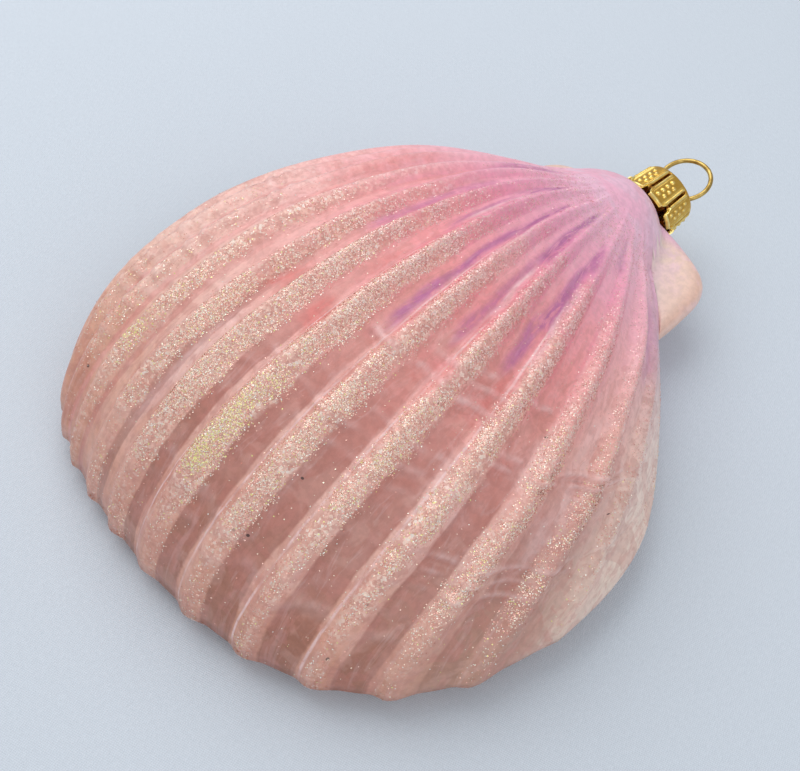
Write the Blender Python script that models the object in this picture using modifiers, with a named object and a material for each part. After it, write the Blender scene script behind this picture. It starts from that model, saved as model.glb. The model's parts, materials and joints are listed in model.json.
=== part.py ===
"""Blown-glass scallop shell ornament: a hollow ribbed glass shell with two ears and a neck stub,
a stamped metal cap over the neck, and a bent wire hanger sprung into the cap.

Built in millimetres about the umbo, the point that the ribs fan out from: +Y runs to the cap,
-Y to the scalloped margin, and the plane z = 0 holds the rim where the two valves meet. The whole
is then leaned as it rests on its flat back, and set down so that its origin is the middle of the
base of its bounding box.
"""

import math

import bmesh
import bpy
import numpy as np
from mathutils import Matrix, Vector

MM = 0.001
FIT_GAP = 0.3                     # clearance between pieces that touch

# Driving dimensions of the shell, in millimetres and degrees.
SHELL_LENGTH = 104.4              # umbo to margin, along the middle rib
SIDE_SHORTENING = 0.41            # share of that length lost at the fan's edge
SIDE_TURN = (3.55, 0.73)          # how late, and how squarely, it is lost
SIDE_UNEVENNESS = (0.018, -0.05)  # parts of the length in w and w cubed, as it was blown
UPPER_STATIONS = (3.2, 21.5, 30.4, 32.9, 31.6, 26.8)   # crown line height at every fifth
RIM_TURN = (6.3, 0.54)            # how late, and how squarely, it turns down to the margin
UPPER_ACROSS = (1.93, 1.05)       # powers of the profile across the ribs, at the umbo
UPPER_ACROSS_CHANGE = (-0.37, -0.16)   # and what they gain by the margin
LOWER_DEPTH = (8.2, 3.4)          # the flat valve underneath, at the umbo and at the margin
LOWER_UMBO = (0.7, 0.09)          # share of that depth missing at the umbo, and how soon it is made up
LOWER_TURN = (7.0, 0.6)
LOWER_ACROSS = (3.5, 0.6)
RIB_PITCH = 0.12                  # as a share of half the fan
RIB_HEIGHT = 0.7
MARGIN_RIB_SHARE = 0.5            # of the ribs' height left where they roll over the rim
LOWER_RIB_SHARE = 0.6             # of it on the lower valve
OUTER_RIB = 0.84                  # the ribs die out past this share of the fan
RIB_START = (0.08, 0.43)          # they grow to their full height between these shares of its length
RIB_ROLL_START = 0.88             # where they begin to roll over the rim
FAN_AT_UMBO = (60.9, -0.7)        # half angle, and its cubic part
FAN_STATIONS = (-1.0, -0.6, -0.2, 0.2, 0.6, 1.0)
FAN_AT_MARGIN = (-45.4, -16.9, -7.3, 7.7, 24.6, 46.9)
FAN_SWING = (2.08, -1.21)         # power of the swing from one to the other: middle, edge change

# Ears: flat, thick, round-edged wings that run from the disc to the straight hinge line.
EAR_END = 0.44                    # where along the disc's side the ear stops
EAR_HALF_THICKNESS = 2.6
EAR_FULL_WIDTH = 6.0              # narrower than this, it thins out
EAR_FILLET = 1.2
LEFT_EAR_SHARE = 0.94             # the left ear is a little shorter
EAR_OUTLINE = ((21.3, -14.5), (20.9, -9.0), (19.9, -3.8), (17.3, -0.5), (12.2, 1.2))
HINGE_INNER = (6.1, 2.3)          # where the hinge line meets the hood below the cap

# Hood: the round bulge over the umbo, half an ellipsoid above the rim plane and half below.
HOOD_CENTRE = (-0.8, -14.0)
HOOD_REACH = (13.2, 17.3)         # along X and Y
HOOD_RISE = 14.2
HOOD_DEPTH = 8.5
HOOD_FILLET = 7.0
HOOD_FILLET_SHARE = 0.65          # of the hood's height, where that is less

REST_TILT = math.radians(3.8)     # lying on its back, it leans down towards the margin

# Neck, cap and hanger share one axis, which leans up from the rim plane.
NECK_TILT = math.radians(9.7)
NECK_PIVOT = (2.6, 0.55)          # Y and Z of the point that they turn about, the cap's base
NECK_RADIUS = 4.9
BORE_RADIUS = 3.9
NECK_END = 5.4                    # distances along the axis, from that point
NECK_START = -7.0
BORE_START = -13.0
CAP_LENGTH = 7.0
CAP_BASE_RADIUS = 6.1
CAP_TOP_RADIUS = 5.45
CAP_WALL = 0.45
CAP_CORNER = 0.5
PETALS = 8
NOTCH_RADIUS = 0.9
WIRE_RADIUS = 0.45
LOOP_RADIUS = 4.43
LOOP_RISE = 3.7                   # loop centre above the cap's flat top
LOOP_SHIFT = 0.3
LOOP_TURN = math.radians(-6.5)    # the bent wire sits a little askew in the cap
LOOP_LEAN = math.radians(5.2)
LEG_SPREAD = 2.7
LEG_LENGTH = 13.0                 # below the cap's flat top
LEG_FOOT = 4.0                    # the straight end of each leg

# Glass wall, as the scale of the hollow about a point inside the disc.
HOLLOW_CENTRE_Y = -48.0
HOLLOW_PLAN = 0.95
HOLLOW_UPPER = 0.943
HOLLOW_LOWER = 0.86


def make_material(name, colour, roughness, metallic):
    material = bpy.data.materials.new(name)
    material.use_nodes = True
    shader = material.node_tree.nodes["Principled BSDF"]
    shader.inputs["Base Color"].default_value = (*colour, 1.0)
    shader.inputs["Roughness"].default_value = roughness
    shader.inputs["Metallic"].default_value = metallic
    return material


def smooth_step(value):
    value = np.clip(value, 0.0, 1.0)
    return value * value * (3.0 - 2.0 * value)


def smooth_max(first, second, radius):
    """The larger of two heights, with a fillet of about this radius where they cross."""
    reach = np.maximum(radius - np.abs(first - second), 0.0)
    return np.maximum(first, second) + reach * reach / (4.0 * np.maximum(radius, 1e-9))


def fan_point(s, w):
    """Plan position at share s of the way to the margin, on the fan line w from -1 to 1."""
    at_umbo = FAN_AT_UMBO[0] * w + FAN_AT_UMBO[1] * w**3
    at_margin = np.polyval(np.polyfit(FAN_STATIONS, FAN_AT_MARGIN, 5), w)
    swing = np.maximum(s, 1e-9) ** (FAN_SWING[0] + FAN_SWING[1] * w**4)
    angle = np.radians(at_umbo + (at_margin - at_umbo) * swing)
    kept = np.clip(1.0 - np.abs(w) ** SIDE_TURN[0], 0.0, 1.0) ** SIDE_TURN[1]
    radius = SHELL_LENGTH * s * (1.0 - SIDE_SHORTENING + SIDE_SHORTENING * kept)
    radius = radius * (1.0 + SIDE_UNEVENNESS[0] * w + SIDE_UNEVENNESS[1] * w**3)
    return radius * np.sin(angle), -radius * np.cos(angle)


def upper_height(s, w):
    crown = np.polyval(np.polyfit(np.linspace(0, 1, 6), UPPER_STATIONS, 5), s)
    crown = crown * np.clip(1.0 - s ** RIM_TURN[0], 0.0, 1.0) ** RIM_TURN[1]
    inner_power = UPPER_ACROSS[0] + UPPER_ACROSS_CHANGE[0] * s
    outer_power = UPPER_ACROSS[1] + UPPER_ACROSS_CHANGE[1] * s
    return crown * np.clip(1.0 - np.abs(w) ** inner_power, 0.0, 1.0) ** outer_power


def lower_height(s, w):
    along = LOWER_DEPTH[0] + (LOWER_DEPTH[1] - LOWER_DEPTH[0]) * s
    along = along * (1.0 - LOWER_UMBO[0] * np.exp(-s / LOWER_UMBO[1]))
    along = along * np.clip(1.0 - s ** LOWER_TURN[0], 0.0, 1.0) ** LOWER_TURN[1]
    return along * np.clip(1.0 - np.abs(w) ** LOWER_ACROSS[0], 0.0, 1.0) ** LOWER_ACROSS[1]


def hood_height(x, y, side):
    """The round hood that the cap sits on, as a height above or below the rim plane."""
    left = 1.0 - ((x - HOOD_CENTRE[0]) / HOOD_REACH[0]) ** 2 - ((y - HOOD_CENTRE[1]) / HOOD_REACH[1]) ** 2
    return (HOOD_RISE if side > 0 else HOOD_DEPTH) * np.sqrt(np.clip(left, 0.0, None))


def rib_relief(s, w, side):
    """The ribs' height above the smooth dome: they grow out of the umbo and fade at the sides."""
    grown = smooth_step((s - RIB_START[0]) / (RIB_START[1] - RIB_START[0]))
    faded = 1.0 - smooth_step((np.abs(w) - OUTER_RIB + RIB_PITCH / 3) / RIB_PITCH)
    rolled = smooth_step((s - RIB_ROLL_START) / (1.0 - RIB_ROLL_START))
    share = (1.0 if side > 0 else LOWER_RIB_SHARE) * (1.0 - rolled) + MARGIN_RIB_SHARE * rolled
    return share * RIB_HEIGHT * grown * faded * np.cos(2.0 * math.pi * w / RIB_PITCH)


def ear_outline(count):
    """Points from the ear's outer corner round its tip to the hood, on a smooth curve."""
    corner = np.array([float(v) for v in fan_point(np.array(EAR_END), np.array(1.0))])
    knots = np.array([corner, *EAR_OUTLINE, HINGE_INNER])
    before, after = 2 * knots[0] - knots[1], 2 * knots[-1] - knots[-2]
    knots = np.vstack([before, knots, after])
    spans = len(knots) - 3
    points = []
    for position in np.linspace(0.0, spans, count):
        span = min(int(position), spans - 1)
        t = position - span
        p0, p1, p2, p3 = knots[span:span + 4]
        points.append(0.5 * (2 * p1 + (p2 - p0) * t + (2 * p0 - 5 * p1 + 4 * p2 - p3) * t * t
                             + (3 * p1 - p0 - 3 * p2 + p3) * t**3))
    return np.array(points)


def add_grid(bm, layer, x, y, z, relief):
    """Quads over a grid of points. Points that coincide are merged later."""
    rows, columns = x.shape
    verts = []
    for i in range(rows):
        for j in range(columns):
            vert = bm.verts.new((x[i, j], y[i, j], z[i, j]))
            vert[layer] = relief[i, j]
            verts.append(vert)
    for i in range(rows - 1):
        for j in range(columns - 1):
            corner = i * columns + j
            bm.faces.new([verts[k] for k in (corner, corner + 1, corner + columns + 1, corner + columns)])


def finish_mesh(bm, name, move=None):
    """Merges the seams, turns the faces outwards and returns the mesh in metres."""
    bmesh.ops.remove_doubles(bm, verts=bm.verts, dist=1e-4)
    bmesh.ops.dissolve_degenerate(bm, dist=1e-4, edges=bm.edges)
    bmesh.ops.recalc_face_normals(bm, faces=bm.faces)
    bm.normal_update()
    if move is not None:
        moved = [(vert, vert.co + vert.normal * vert[move]) for vert in bm.verts]
        for vert, place in moved:
            vert.co = place
    bmesh.ops.transform(bm, matrix=Matrix.Scale(MM, 4), verts=bm.verts)
    mesh = bpy.data.meshes.new(name)
    bm.to_mesh(mesh)
    bm.free()
    return mesh


def shell_rows(count_to_ear, count_to_margin):
    to_ear = EAR_END * np.linspace(0.0, 1.0, count_to_ear) ** 1.4
    t = np.linspace(0.0, 1.0, count_to_margin)
    return np.concatenate([to_ear, (EAR_END + (1.0 - EAR_END) * np.sin(t * math.pi / 2) ** 0.9)[1:]])


def shell_columns(per_rib):
    ribs = int(round(OUTER_RIB / RIB_PITCH))
    middle = np.linspace(-OUTER_RIB, OUTER_RIB, 2 * ribs * per_rib + 1)
    edge = OUTER_RIB + (1.0 - OUTER_RIB) * np.sin(np.linspace(0, 1, 7)[1:] * math.pi / 2)
    return np.concatenate([-edge[::-1], middle, edge])


def outer_skin():
    """Both valves, the ears and the hood as one closed surface."""
    bm = bmesh.new()
    layer = bm.verts.layers.float.new("relief")
    rows = shell_rows(8, 11)
    s, w = np.meshgrid(rows, shell_columns(4), indexing="ij")
    x, y = fan_point(s, w)
    ear_rows = rows[rows <= EAR_END + 1e-9]
    outline = ear_outline(len(ear_rows))
    inner = np.column_stack(fan_point(ear_rows[::-1], np.ones(len(ear_rows))))
    width = np.hypot(*(outline - inner).T)
    ear_height = EAR_HALF_THICKNESS * np.sqrt(np.clip(width / EAR_FULL_WIDTH, 0.0, 1.0))

    # The skirt runs from the right ear, behind the hood, to the left ear. Each of its rows
    # goes out from the disc's side, or from the umbo, to the outline.
    back = np.linspace(HINGE_INNER[0], -HINGE_INNER[0], 7)[1:-1]
    left_inner = np.column_stack(fan_point(ear_rows, -np.ones(len(ear_rows))))
    left_outline = outline[::-1] * (-LEFT_EAR_SHARE, 1.0)
    left_outline[-1] = left_inner[-1]
    skirt_inner = np.vstack([inner, np.zeros((len(back), 2)), left_inner])
    skirt_outer = np.vstack([outline, np.column_stack([back, np.full(len(back), HINGE_INNER[1])]),
                             left_outline])
    skirt_ear = np.concatenate([ear_height, np.full(len(back), EAR_HALF_THICKNESS), ear_height[::-1]])
    v = np.sin(np.linspace(0.0, 1.0, 7) * math.pi / 2)[None, :]
    skirt_x = skirt_inner[:, :1] + (skirt_outer - skirt_inner)[:, :1] * v
    skirt_y = skirt_inner[:, 1:] + (skirt_outer - skirt_inner)[:, 1:] * v
    edge_fall = np.sqrt(np.clip(1.0 - v**6, 0.0, 1.0))
    ear_over_fan = np.interp(s, ear_rows, ear_height[::-1], right=0.0)

    for side, height in ((1, upper_height), (-1, lower_height)):
        near = np.where(s < EAR_END, 1.0, 0.0)
        hood = near * hood_height(x, y, side)
        z = smooth_max(height(s, w), hood, np.minimum(HOOD_FILLET, HOOD_FILLET_SHARE * hood))
        z = smooth_max(z, ear_over_fan, EAR_FILLET * ear_over_fan / EAR_HALF_THICKNESS)
        add_grid(bm, layer, x, y, side * z, rib_relief(s, w, side))
        ear = skirt_ear[:, None] * edge_fall
        hood = hood_height(skirt_x, skirt_y, side) * edge_fall
        z = smooth_max(ear, hood, EAR_FILLET * ear / EAR_HALF_THICKNESS)
        add_grid(bm, layer, skirt_x, skirt_y, side * z, np.zeros_like(z))
    return finish_mesh(bm, "outer_skin", layer)


def hollow_skin():
    """The hollow inside the disc, smooth and a wall's thickness smaller all round."""
    bm = bmesh.new()
    layer = bm.verts.layers.float.new("relief")
    rows = np.sin(np.linspace(0.0, 1.0, 12) * math.pi / 2)
    columns = np.sin(np.linspace(-1.0, 1.0, 33) * math.pi / 2)
    s, w = np.meshgrid(rows, columns, indexing="ij")
    x, y = fan_point(s, w)
    y = HOLLOW_CENTRE_Y + (y - HOLLOW_CENTRE_Y) * HOLLOW_PLAN
    for side, height, scale in ((1, upper_height, HOLLOW_UPPER), (-1, lower_height, HOLLOW_LOWER)):
        z = side * height(s, w) * scale * np.where(s > 0.0, 1.0, 0.0)
        add_grid(bm, layer, x * HOLLOW_PLAN, y, z, np.zeros_like(z))
    return finish_mesh(bm, "hollow_skin")


def neck_frame():
    """Turns a part drawn up local +Z into one along the neck, measured from the neck's pivot."""
    pivot = Vector((0.0, NECK_PIVOT[0] * MM, NECK_PIVOT[1] * MM))
    return Matrix.Translation(pivot) @ Matrix.Rotation(NECK_TILT - math.pi / 2, 4, "X")


def loop_frame():
    """The same, measured from the middle of the loop's two legs at the cap's flat top."""
    askew = Matrix.Rotation(LOOP_TURN, 4, "Z") @ Matrix.Rotation(LOOP_LEAN, 4, "X")
    return (neck_frame() @ Matrix.Translation((0.0, 0.0, CAP_LENGTH * MM)) @ askew
            @ Matrix.Translation((LOOP_SHIFT * MM, 0.0, 0.0)))


def new_object(name, data, collection, matrix=None):
    obj = bpy.data.objects.new(name, data)
    collection.objects.link(obj)
    if matrix is not None:
        obj.matrix_world = matrix
    return obj


def cylinder(name, radius, start, end, collection, segments=32, offset=0.0, matrix=None):
    bm = bmesh.new()
    bmesh.ops.create_cone(bm, cap_ends=True, segments=segments, radius1=radius * MM,
                          radius2=radius * MM, depth=(end - start) * MM)
    bmesh.ops.translate(bm, vec=(offset * MM, 0.0, (start + end) / 2 * MM), verts=bm.verts)
    mesh = bpy.data.meshes.new(name)
    bm.to_mesh(mesh)
    bm.free()
    return new_object(name, mesh, collection, neck_frame() if matrix is None else matrix)


def boolean(obj, other, operation):
    modifier = obj.modifiers.new(other.name, "BOOLEAN")
    modifier.operation = operation
    modifier.object = other
    modifier.solver = "EXACT"


def make_helper(obj):
    obj.hide_render = True
    obj.display_type = "WIRE"


def glass_shell(parts, cutters):
    shell = new_object("glass_shell", outer_skin(), parts)
    neck = cylinder("neck_tube", NECK_RADIUS, NECK_START, NECK_END, cutters)
    hollow = new_object("hollow", hollow_skin(), cutters)
    bore = cylinder("neck_bore", BORE_RADIUS, BORE_START, NECK_END + 3.0, cutters)
    for helper in (neck, hollow, bore):
        make_helper(helper)
    boolean(shell, neck, "UNION")
    boolean(shell, hollow, "DIFFERENCE")
    boolean(shell, bore, "DIFFERENCE")
    shell.data.materials.append(make_material("painted_glass", (0.80, 0.52, 0.48), 0.35, 0.0))
    return shell


def metal_cap(parts, cutters):
    """A thin cup, open towards the shell, with a notch between each pair of petals."""
    top, corner = CAP_LENGTH, CAP_CORNER
    inner_top = CAP_TOP_RADIUS - CAP_WALL
    profile = [(0.0, top), (CAP_TOP_RADIUS - corner, top), (CAP_TOP_RADIUS, top - corner),
               (CAP_BASE_RADIUS, 0.0), (CAP_BASE_RADIUS - CAP_WALL, 0.0),
               (inner_top, top - CAP_WALL - corner), (0.0, top - CAP_WALL)]
    mesh = bpy.data.meshes.new("cap_profile")
    edges = [(i, i + 1) for i in range(len(profile) - 1)]
    mesh.from_pydata([(r * MM, 0.0, z * MM) for r, z in profile], edges, [])
    cap = new_object("cap", mesh, parts, neck_frame())
    turn = cap.modifiers.new("turned", "SCREW")
    turn.steps = turn.render_steps = 6 * PETALS
    turn.use_merge_vertices = True
    turn.merge_threshold = 0.00001
    turn.use_smooth_shade = True
    for index in range(PETALS):
        angle = 2.0 * math.pi * (index + 0.5) / PETALS
        bm = bmesh.new()
        bmesh.ops.create_cone(bm, cap_ends=True, segments=3, radius1=NOTCH_RADIUS * MM,
                              radius2=NOTCH_RADIUS * MM, depth=3.0 * MM)
        place = (Matrix.Rotation(angle, 4, "Z") @ Matrix.Translation((CAP_BASE_RADIUS * MM, 0.0, 0.0))
                 @ Matrix.Rotation(math.pi / 2, 4, "Y"))
        bmesh.ops.transform(bm, matrix=place, verts=bm.verts)
        notch_mesh = bpy.data.meshes.new(f"notch_{index + 1}")
        bm.to_mesh(notch_mesh)
        bm.free()
        notch = new_object(f"notch_{index + 1}", notch_mesh, cutters, neck_frame())
        make_helper(notch)
        boolean(cap, notch, "DIFFERENCE")
    foot = math.sqrt(LOOP_RADIUS**2 - LOOP_RISE**2)
    for side in (-1, 1):
        hole = cylinder(f"leg_hole_{side + 2}", WIRE_RADIUS + FIT_GAP, -2.0, 2.0,
                        cutters, segments=12, offset=side * foot, matrix=loop_frame())
        make_helper(hole)
        boolean(cap, hole, "DIFFERENCE")
    cap.data.materials.append(make_material("gold_lacquer", (0.83, 0.61, 0.22), 0.25, 1.0))
    return cap


def wire_hanger(parts):
    """A round loop above the cap, whose two legs go through the cap's top and spring into the neck."""
    foot = math.sqrt(LOOP_RADIUS**2 - LOOP_RISE**2)
    start = math.atan2(-LOOP_RISE, foot)
    points = [(LEG_SPREAD, -LEG_LENGTH), (LEG_SPREAD, LEG_FOOT - LEG_LENGTH), (foot + 0.1, -2.4),
              (foot, -1.0)]
    arc = 22
    for step in range(arc + 1):
        angle = start + (math.pi - 2.0 * start) * step / arc
        points.append((LOOP_RADIUS * math.cos(angle), LOOP_RISE + LOOP_RADIUS * math.sin(angle)))
    points += [(-x, z) for x, z in reversed(points[:4])]
    curve = bpy.data.curves.new("hanger", "CURVE")
    curve.dimensions = "3D"
    spline = curve.splines.new("POLY")
    spline.points.add(len(points) - 1)
    for point, (x, z) in zip(spline.points, points):
        point.co = (x * MM, 0.0, z * MM, 1.0)
    curve.bevel_depth = WIRE_RADIUS * MM
    curve.bevel_resolution = 2
    curve.use_fill_caps = True
    hanger = new_object("hanger", curve, parts, loop_frame())
    curve.materials.append(make_material("spring_brass", (0.62, 0.48, 0.20), 0.28, 1.0))
    return hanger


def world_bounds(objects):
    graph = bpy.context.evaluated_depsgraph_get()
    corners = []
    for obj in objects:
        evaluated = obj.evaluated_get(graph)
        mesh = evaluated.to_mesh()
        points = np.empty(len(mesh.vertices) * 3, np.float32)
        mesh.vertices.foreach_get("co", points)
        world = np.array(evaluated.matrix_world)
        corners.append(points.reshape(-1, 3) @ world[:3, :3].T + world[:3, 3])
        evaluated.to_mesh_clear()
    everything = np.vstack(corners)
    return everything.min(axis=0), everything.max(axis=0)


def main():
    for obj in list(bpy.data.objects):
        bpy.data.objects.remove(obj, do_unlink=True)
    parts = bpy.data.collections.new("scallop_ornament")
    cutters = bpy.data.collections.new("cutters")
    for collection in (parts, cutters):
        bpy.context.scene.collection.children.link(collection)

    pieces = [glass_shell(parts, cutters), metal_cap(parts, cutters), wire_hanger(parts)]
    for piece in pieces:
        if piece.type == "MESH":
            piece.data.shade_smooth()
            piece.data.set_sharp_from_angle(angle=math.radians(35))

    base = bpy.data.objects.new("ornament_base", None)
    parts.objects.link(base)
    for obj in [*pieces, *cutters.objects]:
        obj.parent = base
    base.rotation_euler = (REST_TILT, 0.0, 0.0)
    bpy.context.view_layer.update()
    low, high = world_bounds(pieces)
    base.location = (-(low[0] + high[0]) / 2, -(low[1] + high[1]) / 2, -low[2])


main()
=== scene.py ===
"""Looks for the blown-glass scallop shell ornament: the painted glass, the glitter on its ribs, the
stamped cap and the wire loop, lying on a fine pale cloth."""

import json
import math

import bpy
import numpy as np
from mathutils import Matrix, Vector

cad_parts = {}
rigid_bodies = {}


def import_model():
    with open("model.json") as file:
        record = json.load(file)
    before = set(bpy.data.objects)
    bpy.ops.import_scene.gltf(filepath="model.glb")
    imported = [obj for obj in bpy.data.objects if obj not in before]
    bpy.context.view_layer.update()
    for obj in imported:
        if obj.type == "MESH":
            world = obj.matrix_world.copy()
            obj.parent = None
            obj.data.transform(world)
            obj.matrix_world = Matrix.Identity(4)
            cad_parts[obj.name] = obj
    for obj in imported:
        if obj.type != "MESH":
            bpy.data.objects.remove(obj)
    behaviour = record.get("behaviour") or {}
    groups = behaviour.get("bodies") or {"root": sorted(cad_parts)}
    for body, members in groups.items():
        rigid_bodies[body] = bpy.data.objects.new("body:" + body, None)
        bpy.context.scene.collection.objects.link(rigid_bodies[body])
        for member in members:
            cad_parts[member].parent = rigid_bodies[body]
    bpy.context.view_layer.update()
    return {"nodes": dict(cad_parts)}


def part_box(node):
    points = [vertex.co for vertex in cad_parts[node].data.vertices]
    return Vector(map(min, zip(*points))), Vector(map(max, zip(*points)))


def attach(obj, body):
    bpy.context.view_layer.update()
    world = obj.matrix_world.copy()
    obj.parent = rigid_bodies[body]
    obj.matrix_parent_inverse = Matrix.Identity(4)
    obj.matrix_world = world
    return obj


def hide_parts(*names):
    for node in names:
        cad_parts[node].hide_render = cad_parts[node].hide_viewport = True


for left_over in list(bpy.data.objects):
    bpy.data.objects.remove(left_over, do_unlink=True)
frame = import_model()
for cad_node in frame["nodes"].values():
    cad_node.select_set(False)

# ---------------------------------------------------------------------------------------------
# Glass shell. Mould-blown glass in the form of a scallop with two ears and a neck, sprayed and
# brushed with pearly pinks, lilac, peach and brown, then lacquered. One skin, made as a fan grid
# for each valve and a skirt that runs from ear to ear behind the neck, joined and embossed.
# ---------------------------------------------------------------------------------------------

MM = 0.001
CAP_TOP_PAST_UMBO = 10.520 * MM     # the cap's far edge, along Y
UMBO_ABOVE_TABLE = 10.031 * MM
cap_low, cap_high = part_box("cap")
shell_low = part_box("glass_shell")[0]
UMBO = Vector(((cap_low.x + cap_high.x) / 2, cap_high.y - CAP_TOP_PAST_UMBO,
               shell_low.z + UMBO_ABOVE_TABLE))
REST_TILT = math.radians(3.8)
RESTING = Matrix.Translation(UMBO) @ Matrix.Rotation(REST_TILT, 4, "X") @ Matrix.Scale(MM, 4)

SHELL_LENGTH = 104.4
RIB_PITCH = 0.12
OUTER_RIB = 0.84
RIB_HEIGHT = 1.75
LOWER_RIB_SHARE = 0.6
MARGIN_RIB_SHARE = 0.45
EAR_END = 0.44
EAR_HALF_THICKNESS = 2.6
EAR_FULL_WIDTH = 6.0
LEFT_EAR_SHARE = 0.94
EAR_OUTLINE = ((21.3, -14.5), (20.9, -9.0), (19.9, -3.8), (17.3, -0.5), (12.2, 1.2))
HINGE_INNER = (6.1, 2.3)
HOOD_CENTRE = (-0.8, -14.0)
HOOD_REACH = (13.2, 17.3)
HOOD_RISE = 14.2
HOOD_DEPTH = 8.5
HOOD_FILLET = 7.0
HOOD_FILLET_SHARE = 0.65
NECK_PIVOT = (2.6, 0.55)
NECK_TILT = math.radians(9.7)

# Steps in the surface where growth paused: place along the ribs, height, where across, spread.
GROWTH_LINES = (
    (0.600, 0.42, 0.46, 0.12), (0.622, 0.34, 0.38, 0.10), (0.652, 0.36, 0.30, 0.16),
    (0.688, 0.46, 0.70, 0.17), (0.706, 0.42, 0.66, 0.19), (0.735, 0.17, 0.36, 0.20),
    (0.765, 0.14, 0.20, 0.42), (0.795, 0.11, 0.30, 0.36), (0.842, 0.22, 0.66, 0.22),
    (0.862, 0.17, 0.60, 0.24), (0.884, 0.20, 0.66, 0.20), (0.925, 0.12, 0.05, 0.40),
    (0.950, 0.12, 0.30, 0.30), (0.575, 0.16, -0.46, 0.12), (0.600, 0.18, -0.46, 0.12),
    (0.625, 0.18, -0.44, 0.14), (0.735, 0.16, -0.42, 0.18), (0.760, 0.16, -0.46, 0.14),
    (0.812, 0.16, -0.44, 0.16), (0.836, 0.18, -0.46, 0.16), (0.860, 0.16, -0.46, 0.14),
    (0.900, 0.14, -0.34, 0.18),
)


def smooth_step(value):
    value = np.clip(value, 0.0, 1.0)
    return value * value * (3.0 - 2.0 * value)


def smooth_max(first, second, radius):
    reach = np.maximum(radius - np.abs(first - second), 0.0)
    return np.maximum(first, second) + reach * reach / (4.0 * np.maximum(radius, 1e-9))


def fan_point(s, w):
    """Plan position, from the umbo, at share s of the way to the margin on fan line w."""
    at_umbo = 60.9 * w - 0.7 * w**3
    stations = np.polyfit((-1.0, -0.6, -0.2, 0.2, 0.6, 1.0), (-45.4, -16.9, -7.3, 7.7, 24.6, 46.9), 5)
    at_margin = np.polyval(stations, w)
    swing = np.maximum(s, 1e-9) ** (2.08 - 1.21 * w**4)
    angle = np.radians(at_umbo + (at_margin - at_umbo) * swing)
    kept = np.clip(1.0 - np.abs(w) ** 3.55, 0.0, 1.0) ** 0.73
    radius = SHELL_LENGTH * s * (0.59 + 0.41 * kept) * (1.0 + 0.018 * w - 0.05 * w**3)
    return radius * np.sin(angle), -radius * np.cos(angle)


def upper_height(s, w):
    """The domed valve's smooth height above the plane of the rim."""
    crown = np.polyval(np.polyfit(np.linspace(0, 1, 6), (3.2, 21.5, 30.4, 32.9, 31.6, 26.8), 5), s)
    crown = crown * np.clip(1.0 - s**6.3, 0.0, 1.0) ** 0.54
    return crown * np.clip(1.0 - np.abs(w) ** (1.93 - 0.37 * s), 0.0, 1.0) ** (1.05 - 0.16 * s)


def lower_height(s, w):
    """The flat valve's smooth depth below it."""
    along = (8.2 - 4.8 * s) * (1.0 - 0.7 * np.exp(-s / 0.09)) * np.clip(1.0 - s**7, 0.0, 1.0) ** 0.6
    return along * np.clip(1.0 - np.abs(w) ** 3.5, 0.0, 1.0) ** 0.6


def hood_height(x, y, side):
    """The round hood over the umbo, which the cap sits on."""
    left = 1.0 - ((x - HOOD_CENTRE[0]) / HOOD_REACH[0]) ** 2 - ((y - HOOD_CENTRE[1]) / HOOD_REACH[1]) ** 2
    return (HOOD_RISE if side > 0 else HOOD_DEPTH) * np.sqrt(np.clip(left, 0.0, None))


def waver(a, b, seed):
    """A gentle unevenness between about -1 and 1."""
    total = np.zeros(np.broadcast(a, b).shape)
    for index in range(5):
        turn = seed * 1.7 + index * 2.4
        pace = 1.0 + 0.55 * index
        total = total + np.sin(pace * (a * math.cos(turn) + b * math.sin(turn)) + seed + 3.1 * index)
    return total / 3.0


def rib_count(s, w):
    """Position across the fan in ribs, whole on each crest; the ribs aren't quite evenly spaced."""
    ribs = w / RIB_PITCH
    shift = np.interp(ribs, (-3, -1, 0, 1, 2, 3, 4, 5, 6.3),
                      (0.1, 0.05, -0.12, -0.19, -0.12, -0.07, 0.05, 0.17, 0.3))
    return ribs - shift


def rib_relief(s, w, side):
    """Ribs that rise steeply on one flank and slope away on the other, and sink into the margin."""
    grown = smooth_step((s - 0.08) / 0.35)
    faded = 1.0 - smooth_step((np.abs(w) - OUTER_RIB + 0.04) / 0.12)
    rolled = smooth_step((s - 0.88) / 0.12)
    share = (1.0 if side > 0 else LOWER_RIB_SHARE) * (1.0 - rolled) + MARGIN_RIB_SHARE * rolled
    past_foot = rib_count(s, w) + 0.36 + 0.02 * waver(s * 8.0, w * 11.0, 7.0)
    past_foot = past_foot - np.floor(past_foot)
    height = smooth_step(past_foot / 0.24) * (1.0 - smooth_step((past_foot - 0.26) / 0.40)) - 0.40
    return RIB_HEIGHT * share * grown * faded * height * (1.0 + 0.16 * waver(s * 9.0, w * 14.0, 2.0))


def in_groove(s, w):
    """How far inside a groove a point lies, in ribs; below zero outside."""
    ribs = rib_count(s, w) + 0.025 * waver(s * 22.0, w * 30.0, 8.0)
    rib = np.floor(ribs)
    late = smooth_step((s - 0.64) / 0.12)
    start = np.interp(rib, (-2, -1, 0, 1, 2, 3, 4, 5), (0.20, 0.17, 0.27, 0.27, 0.22, 0.21, 0.24, 0.30))
    start = start - late * np.interp(rib, (0, 1, 2, 3, 5), (0.0, 0.04, 0.08, 0.09, 0.08))
    end = np.interp(rib, (-2, -1, 0, 1), (0.36, 0.42, 0.60, 0.645))
    return np.clip(np.minimum(ribs - rib - start, end - ribs + rib), -0.15, 0.15)


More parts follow.
